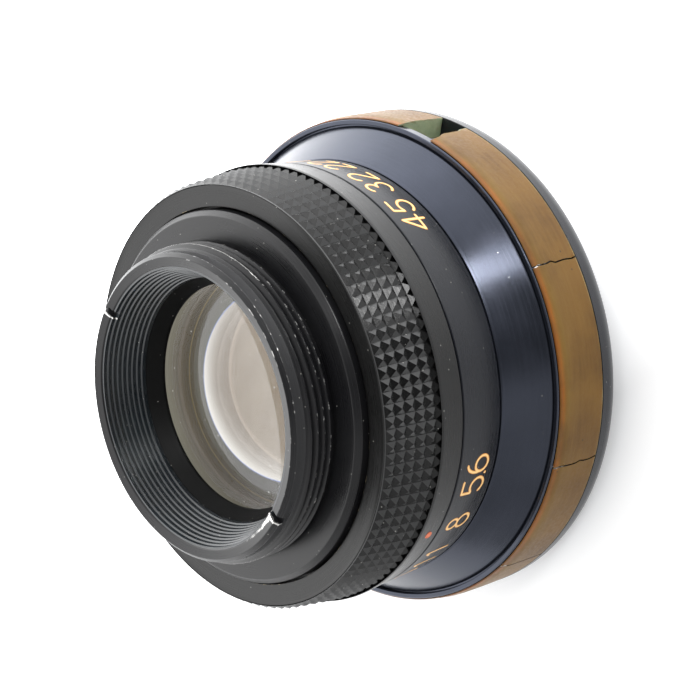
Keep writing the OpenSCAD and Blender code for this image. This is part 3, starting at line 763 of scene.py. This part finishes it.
def band_piece(index, start, end, start_stray, end_stray, end_kinds):
    build = Builder(f"band_piece_{index}")
    section = band_section()
    count = max(8, round(end - start))
    columns = []
    for i in range(count + 1):
        angle = start + (end - start) * i / count
        stray = start_stray if i == 0 else end_stray if i == count else None
        column = []
        for r, d, t in section:
            a = angle + (stray(r, d) if stray else 0.0)
            column.append(build.add(point(a, r, d), t))
        columns.append(column)
    build.bands(columns)
    middle = Vector((sum(p[0] for p in section), sum(p[1] for p in section))) / len(section)
    ends = ((columns[0], start, start_stray), (columns[-1], end, end_stray))
    for (column, angle, stray), kind in zip(ends, end_kinds):
        rings = [column]
        for share in (0.72, 0.4):
            inner = []
            for r, d, t in section:
                p = middle.lerp(Vector((r, d)), share)
                inner.append(build.add(point(angle + 1.2 * stray(p.x, p.y), p.x, p.y), t))
            rings.append(inner)
        build.bands(rings, kind=kind)
        centre = build.add(point(angle + stray(*middle), *middle))
        for i in range(len(section)):
            build.face(rings[-1][i], rings[-1][(i + 1) % len(section)], centre, kind=kind)
    # a narrow crack's faces take the dull black, as painted shade
    return build.finish(TURNING, [RESIN, FRACTURE, DULL], sharp=35, replaces=[f"luminous_band_{index}"],
                        slot="aged_luminous_plastic")


def luminous_band():
    strays = [jagged(3.0, 0.18), jagged(7.0, 0.34), jagged(11.0, 0.42), jagged(19.0, 0.16, 0.05)]
    breaks = [BAND_GAP[1] - 360, *BAND_CRACKS, BAND_GAP[0]]
    for i, (start, end) in enumerate(zip(breaks, breaks[1:])):
        from_gap, to_gap = i == 0, end == BAND_GAP[0]
        first = jagged(23.0, 0.3, -0.1) if from_gap else strays[i - 1]
        last = jagged(29.0, 0.5, 0.28) if to_gap else strays[i]
        kinds = [BREAK_FACE if at_gap else CRACK_SHADE_FACE for at_gap in (from_gap, to_gap)]
        band_piece(i + 1, start + (0 if from_gap else CRACK / 2), end - (0 if to_gap else CRACK / 2),
                   first, last, kinds)


def adhesive():
    """Old adhesive left on the channel's floor where a fragment of the band is missing."""
    around, along = 14, 8
    start, width = BAND_GAP[0] + 0.6, BAND_GAP[1] - BAND_GAP[0] - 1.0
    build = Builder("band_adhesive")
    rows = []
    for i in range(around + 1):
        share = i / around
        row = []
        for k in range(along + 1):
            angle, depth = start + width * share, 32.1 + 6.0 * k / along
            lump = noise.noise(Vector((angle * 0.8, depth * 0.9, 2.0)))
            inside = min(share, 1 - share, k / along, 1 - k / along) > 0
            height = 0.1 + 0.09 * lump if inside else 0.002
            row.append(build.add(point(angle, CHANNEL_R + height, depth)))
        rows.append(row)
    build.bands(rows, closed=False)
    return build.finish(TURNING, [GLUE], slot="aged_luminous_plastic")


# ---- inside ----

REAR_CURVE, HOLLOW_CURVE = 40.0, 26.0
PAIR_R, PAIR_FRONT, PAIR_VERTEX = 15.4, 17.2, 10.91
PAIR_GLASS, PAIR_HOLLOW, PAIR_GROUND, PAIR_RIM = range(4)


def rear_cell_lining():
    """Spacer between the rear glasses, with the fine rings that show through the rear glass; it glows with
    painted light and shade.
    """
    section = [(13.9, 13.3), (14.0, 12.6, 0.1), (14.15, 12.5, 0.05), (14.25, 11.6, 0.1), (14.4, 11.5, 0.05),
               (14.5, 10.7, 0.1), (14.65, 10.6, 0.05), (14.75, 10.0), (15.4, 10.0), (15.4, 13.3)]
    return turned("rear_cell_lining", section, FIXED, [CELL], replaces=["rear_spacer"],
                  slot="black_anodised")


def surface_of(curve_r, vertex):
    """Depth, at a given radius, of a spherical surface that bulges to the rear."""
    return lambda r: vertex + (curve_r - math.sqrt(curve_r ** 2 - r * r))


def rear_pair():
    """Cemented pair: domed towards the mount, with a hollow and a ground rim in front that glow with
    painted light.
    """
    count, rings = 120, 14
    rear = surface_of(REAR_CURVE, PAIR_VERTEX)
    hollow = surface_of(HOLLOW_CURVE, PAIR_FRONT - surface_of(HOLLOW_CURVE, 0)(HOLLOW_R))
    build = Builder("rear_cemented_pair")

    def circle(r, depth):
        return [build.add(point(360 * k / count, r, depth)) for k in range(count)]

    def cap(ring, depth, kind):
        centre = build.add(point(0, 0, depth))
        for k in range(count):
            build.face(ring[k], ring[(k + 1) % count], centre, kind=kind)

    outer = [circle(PAIR_R * i / rings, rear(PAIR_R * i / rings)) for i in range(1, rings + 1)]
    ground = [circle(radius, PAIR_FRONT) for radius in (PAIR_R, GROUND_R, HOLLOW_R)]
    inner = [circle(HOLLOW_R * i / rings, hollow(HOLLOW_R * i / rings)) for i in range(rings - 1, 0, -1)]
    build.bands(outer + ground[:1])
    build.bands(ground[:2], kind=PAIR_RIM)
    build.bands(ground[1:], kind=PAIR_GROUND)
    build.bands([ground[-1]] + inner, kind=PAIR_HOLLOW)
    cap(outer[0], rear(0), PAIR_GLASS)
    cap(inner[-1], hollow(0), PAIR_HOLLOW)
    return build.finish(FIXED, [GLASS, PAINTED_HOLLOW_LIGHT, GROUND, CELL_DEEP], sharp=30, slot="crown_glass",
                        replaces=["rear_doublet_outer", "rear_doublet_inner"])


def keep_cad_nodes():
    """Materials of the CAD parts that are shown as they are."""
    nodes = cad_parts
    # The rear retaining ring glows with the painted light and shade of the deep cell.
    looks = {
        "index_dot": ORANGE, "main_barrel": BLACK, "rear_lens": GLASS, "rear_retaining_ring": CELL_DEEP,
        "iris_retaining_ring": BLACK, "iris_rotor": BRASS, "drive_pin": STEEL, "iris_base": BLACK,
        "iris_cover": BLACK, "front_barrel": BLACK, "front_doublet_inner": GLASS,
        "front_doublet_outer": GLASS, "front_spacer": BLACK, "front_lens": GLASS,
        "front_retaining_ring": BLACK, "front_trim_ring": BLACK, "control_retaining_ring": BLACK,
        "click_ball": STEEL, "click_spring": STEEL,
    }
    for name in nodes:
        look = BLUED if name.startswith("iris_blade") else looks.get(name)
        if look:
            mesh = nodes[name].data
            mesh.materials.clear()
            mesh.materials.append(look)


rear_mount()
grip_ring()
number_ring()
flared_ring()
rim()
numerals()
luminous_band()
adhesive()
rear_cell_lining()
rear_pair()
keep_cad_nodes()


# ---- stage, lights and camera ----

FLOOR_HALF = 2.5                 # half the floor's side, in metres
FLOOR_DROP = 0.00005             # keeps the floor just clear of the rim


def floor():
    """Pale floor, lit like a light table behind the lens and dim in front of it."""
    n = Nodes("pale_floor")
    cloud = n.noise(6.0, 2.0)
    shade = n.mix(cloud, rgb(0.74, 0.745, 0.755), rgb(0.78, 0.785, 0.79))
    xyz = n.add("ShaderNodeSeparateXYZ", {"Vector": n.place})
    behind = n.math("ADD", xyz.outputs[1], n.math("MULTIPLY", xyz.outputs[0], 0.45))
    n.set(Base_Color=shade, Emission_Color=shade, Roughness=0.6,
          Emission_Strength=n.range(behind, -0.02, 0.05, 0.35, 3.2))
    mesh = bpy.data.meshes.new("floor")
    bm = bmesh.new()
    bmesh.ops.create_grid(bm, x_segments=8, y_segments=8, size=FLOOR_HALF)
    bm.to_mesh(mesh)
    bm.free()
    obj = bpy.data.objects.new("floor", mesh)
    obj.location.z = -FLOOR_DROP
    bpy.context.scene.collection.objects.link(obj)
    mesh.materials.append(n.material)


VIEW_RIGHT = Vector((0.35124, -0.60323, -0.71606))
VIEW_UP = Vector((0.74457, 0.64365, -0.17701))
VIEW_PLACE = Vector((133.58, -107.93, 171.95)) * MM
VIEW_LENS, VIEW_SENSOR = 92.57, 36.0


def camera():
    """Camera of the main view; returns the direction from the lens towards it."""
    data = bpy.data.cameras.new("camera")
    data.lens = VIEW_LENS
    data.sensor_width = VIEW_SENSOR
    data.clip_start = 0.002
    data.clip_end = 20
    data.dof.use_dof = False
    obj = bpy.data.objects.new("camera", data)
    bpy.context.scene.collection.objects.link(obj)
    right = VIEW_RIGHT.normalized()
    up = (VIEW_UP - right * VIEW_UP.dot(right)).normalized()
    back = right.cross(up)
    turn = Matrix((right, up, back)).transposed()
    obj.matrix_world = Matrix.Translation(VIEW_PLACE) @ turn.to_4x4()
    bpy.context.scene.camera = obj
    return back


KEY_DIRECTION = Vector((0.872, -0.170, 0.459))
KEY_AWAY, KEY_SIZE, KEY_POWER = 0.6, (0.11, 0.16), 1.05


def key_light():
    """Softbox whose reflection is the bright streak on the flared ring."""
    data = bpy.data.lights.new("key", "AREA")
    data.shape = "RECTANGLE"
    data.size, data.size_y = KEY_SIZE
    data.energy = KEY_POWER
    obj = bpy.data.objects.new("key", data)
    direction = KEY_DIRECTION.normalized()
    obj.location = direction * KEY_AWAY + Vector((0, 0, LENGTH / 2 * MM))
    obj.rotation_mode = "QUATERNION"
    obj.rotation_quaternion = direction.to_track_quat("Z", "Y")
    bpy.context.scene.collection.objects.link(obj)


BRIGHT_SIDE = Vector((0.64, 0.77, 0.0))      # the side from which most light comes


def sky(towards_camera):
    """White surroundings: brightest behind the lens and dim at its shaded side, with the
    photographer as a dark spot."""
    world = bpy.data.worlds.new("white_tent")
    bpy.context.scene.world = world
    world.use_nodes = True
    tree = world.node_tree
    tree.nodes.clear()
    link = tree.links.new
    place = tree.nodes.new("ShaderNodeTexCoord")

    def toward(direction):
        node = tree.nodes.new("ShaderNodeVectorMath")
        node.operation = "DOT_PRODUCT"
        node.inputs[1].default_value = direction
        link(place.outputs["Generated"], node.inputs[0])
        return node.outputs["Value"]

    def ranged(value, low, high, to_low, to_high, kind="LINEAR"):
        node = tree.nodes.new("ShaderNodeMapRange")
        node.interpolation_type = kind
        link(value, node.inputs["Value"])
        limits = {"From Min": low, "From Max": high, "To Min": to_low, "To Max": to_high}
        for key, limit in limits.items():
            node.inputs[key].default_value = limit
        return node.outputs[0]

    def times(a, b):
        node = tree.nodes.new("ShaderNodeMath")
        node.operation = "MULTIPLY"
        link(a, node.inputs[0])
        link(b, node.inputs[1])
        return node.outputs[0]

    facing, side = toward(towards_camera), toward(BRIGHT_SIDE)
    person = ranged(facing, 0.85, 0.94, 1.0, 0.12, "SMOOTHSTEP")
    strength = times(ranged(facing, -0.5, 0.75, 4.2, 1.0), person)
    strength = times(strength, ranged(side, -0.98, -0.6, 0.3, 1.0))
    strength = times(strength, ranged(side, 0.0, 0.7, 1.0, 1.45))
    path = tree.nodes.new("ShaderNodeLightPath")
    light = tree.nodes.new("ShaderNodeBackground")
    seen = tree.nodes.new("ShaderNodeBackground")
    seen.inputs["Color"].default_value = rgb(1.0, 1.0, 1.0)
    choose = tree.nodes.new("ShaderNodeMixShader")
    out = tree.nodes.new("ShaderNodeOutputWorld")
    link(strength, light.inputs["Strength"])
    link(path.outputs["Is Camera Ray"], choose.inputs[0])
    link(light.outputs[0], choose.inputs[1])
    link(seen.outputs[0], choose.inputs[2])
    link(choose.outputs[0], out.inputs[0])


floor()
sky(camera())
key_light()
bpy.context.scene.view_settings.view_transform = "Standard"
